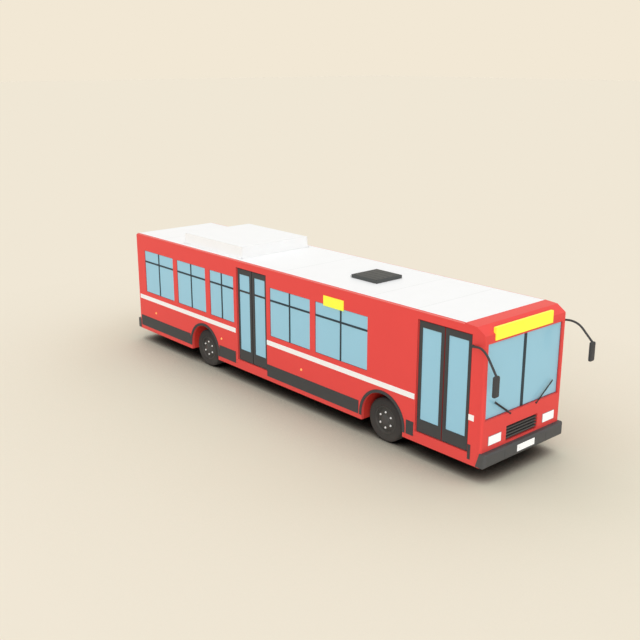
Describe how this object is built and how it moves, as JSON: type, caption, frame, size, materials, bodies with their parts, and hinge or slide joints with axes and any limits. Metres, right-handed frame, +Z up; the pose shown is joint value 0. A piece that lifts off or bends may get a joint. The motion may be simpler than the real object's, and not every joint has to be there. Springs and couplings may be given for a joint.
{
  "type": "single-deck two-axle city bus",
  "caption": "Rigid low-floor city bus, red with white roof and stripe, opening double doors, steering front wheels, twin rear wheels, roof hatch and rear engine flap.",
  "frame": {"origin": "on the ground under the middle of the whole vehicle, mirrors and bumpers included", "axes": "+X forward along the bus, +Y to its left, +Z up"},
  "size_m": [13.021, 3.19, 3.383],
  "materials": {
    "body_red": "gloss paint",
    "roof_white": "gloss paint",
    "stripe_white": "gloss film",
    "dark_trim": "grained matte",
    "dark_frame": "satin paint",
    "wheel_grey": "satin paint",
    "tyre": "matte rubber",
    "pane_blue": "tinted, gloss",
    "lamp_white": "clear lens",
    "lamp_red": "red lens",
    "lamp_amber": "amber lens",
    "sign_yellow": "gloss",
    "frame_grey": "matte chassis paint",
    "cast_grey": "rough casting",
    "floor_grey": "grained floor covering",
    "seat_blue": "woven",
    "pole_yellow": "gloss paint"
  },
  "bodies": {
    "shell": {"front_wall": "body_red", "rear_wall": "body_red", "right_wall": "body_red", "left_wall": "body_red", "roof_panel": "roof_white", "roof_pod": "roof_white", "wheel_boxes": "body_red", "floor_panel": "floor_grey", "chassis_frame": "frame_grey", "engine_block": "cast_grey", "window_panes": "pane_blue", "window_bars": "dark_trim", "skirt_bands": "dark_trim", "side_stripes": "stripe_white", "arch_trims": "dark_trim", "side_markers": "lamp_amber", "route_signs": "sign_yellow", "front_grille": "dark_trim", "head_lamps": "lamp_white", "tail_lamps": "lamp_red", "front_bumper": "dark_trim", "rear_bumper": "dark_trim", "number_plates": "stripe_white", "door_mirrors": "dark_trim", "front_axle": "cast_grey", "rear_axle": "cast_grey", "seats": "seat_blue", "dashboard": "dark_trim", "steering_wheel": "dark_trim", "grab_poles": "pole_yellow"},
    "hatch": {"roof_hatch": "dark_trim"},
    "engine_flap": {"engine_flap": "body_red"},
    "wiper_right": {"wiper_right": "dark_trim"},
    "wiper_left": {"wiper_left": "dark_trim"},
    "knuckle_left": {"steering_knuckle_left": "cast_grey"},
    "knuckle_right": {"steering_knuckle_right": "cast_grey"},
    "front_wheel_left": {"front_tyre_left": "tyre", "front_rim_left": "wheel_grey"},
    "front_wheel_right": {"front_tyre_right": "tyre", "front_rim_right": "wheel_grey"},
    "rear_wheels_left": {"rear_tyres_left": "tyre", "rear_rim_left": "wheel_grey"},
    "rear_wheels_right": {"rear_tyres_right": "tyre", "rear_rim_right": "wheel_grey"},
    "mid_door_rear": {"mid_door_rear_leaf": "dark_frame", "mid_door_rear_glass": "pane_blue"},
    "mid_door_front": {"mid_door_front_leaf": "dark_frame", "mid_door_front_glass": "pane_blue"},
    "front_door_rear": {"front_door_rear_leaf": "dark_frame", "front_door_rear_glass": "pane_blue"},
    "front_door_front": {"front_door_front_leaf": "dark_frame", "front_door_front_glass": "pane_blue"}
  },
  "joints": [
    {"name": "steer_left", "type": "hinge", "parent": "shell", "child": "knuckle_left", "pos_m": [3.3915, 0.88, 0.484], "axis": [0, 0, 1], "range_deg": [-40, 40]},
    {"name": "steer_right", "type": "hinge", "parent": "shell", "child": "knuckle_right", "pos_m": [3.3915, -0.88, 0.484], "axis": [0, 0, 1], "range_deg": [-40, 40]},
    {"name": "front_wheel_left_spin", "type": "hinge", "parent": "knuckle_left", "child": "front_wheel_left", "pos_m": [3.3915, 1.01, 0.484], "axis": [0, 1, 0], "continuous": true},
    {"name": "front_wheel_right_spin", "type": "hinge", "parent": "knuckle_right", "child": "front_wheel_right", "pos_m": [3.3915, -1.01, 0.484], "axis": [0, 1, 0], "continuous": true},
    {"name": "rear_wheels_left_spin", "type": "hinge", "parent": "shell", "child": "rear_wheels_left", "pos_m": [-3.1125, 1.01, 0.484], "axis": [0, 1, 0], "continuous": true},
    {"name": "rear_wheels_right_spin", "type": "hinge", "parent": "shell", "child": "rear_wheels_right", "pos_m": [-3.1125, -1.01, 0.484], "axis": [0, 1, 0], "continuous": true},
    {"name": "mid_door_rear_hinge", "type": "hinge", "parent": "shell", "child": "mid_door_rear", "pos_m": [-1.5965, -1.207, 1.7], "axis": [0, 0, 1], "range_deg": [0, 85]},
    {"name": "mid_door_front_hinge", "type": "hinge", "parent": "shell", "child": "mid_door_front", "pos_m": [-0.5215, -1.207, 1.7], "axis": [0, 0, -1], "range_deg": [0, 85]},
    {"name": "front_door_rear_hinge", "type": "hinge", "parent": "shell", "child": "front_door_rear", "pos_m": [4.3815, -1.207, 1.7], "axis": [0, 0, 1], "range_deg": [0, 85]},
    {"name": "front_door_front_hinge", "type": "hinge", "parent": "shell", "child": "front_door_front", "pos_m": [5.6415, -1.207, 1.7], "axis": [0, 0, -1], "range_deg": [0, 85]},
    {"name": "hatch_hinge", "type": "hinge", "parent": "shell", "child": "hatch", "pos_m": [1.5055, 0, 3.1349], "axis": [0, -1, 0], "range_deg": [0, 70]},
    {"name": "flap_hinge", "type": "hinge", "parent": "shell", "child": "engine_flap", "pos_m": [-6.3878, 0, 1.169], "axis": [0, 1, 0], "range_deg": [0, 80]},
    {"name": "wiper_right_sweep", "type": "hinge", "parent": "shell", "child": "wiper_right", "pos_m": [6.0235, -0.416, 1.252], "axis": [-1, 0, 0], "range_deg": [0, 75]},
    {"name": "wiper_left_sweep", "type": "hinge", "parent": "shell", "child": "wiper_left", "pos_m": [6.0235, 0.416, 1.252], "axis": [1, 0, 0], "range_deg": [0, 75]}
  ],
  "couplings": [
    {"joint": "steer_right", "follows": "steer_left", "ratio": 1},
    {"joint": "wiper_left_sweep", "follows": "wiper_right_sweep", "ratio": 1}
  ]
}
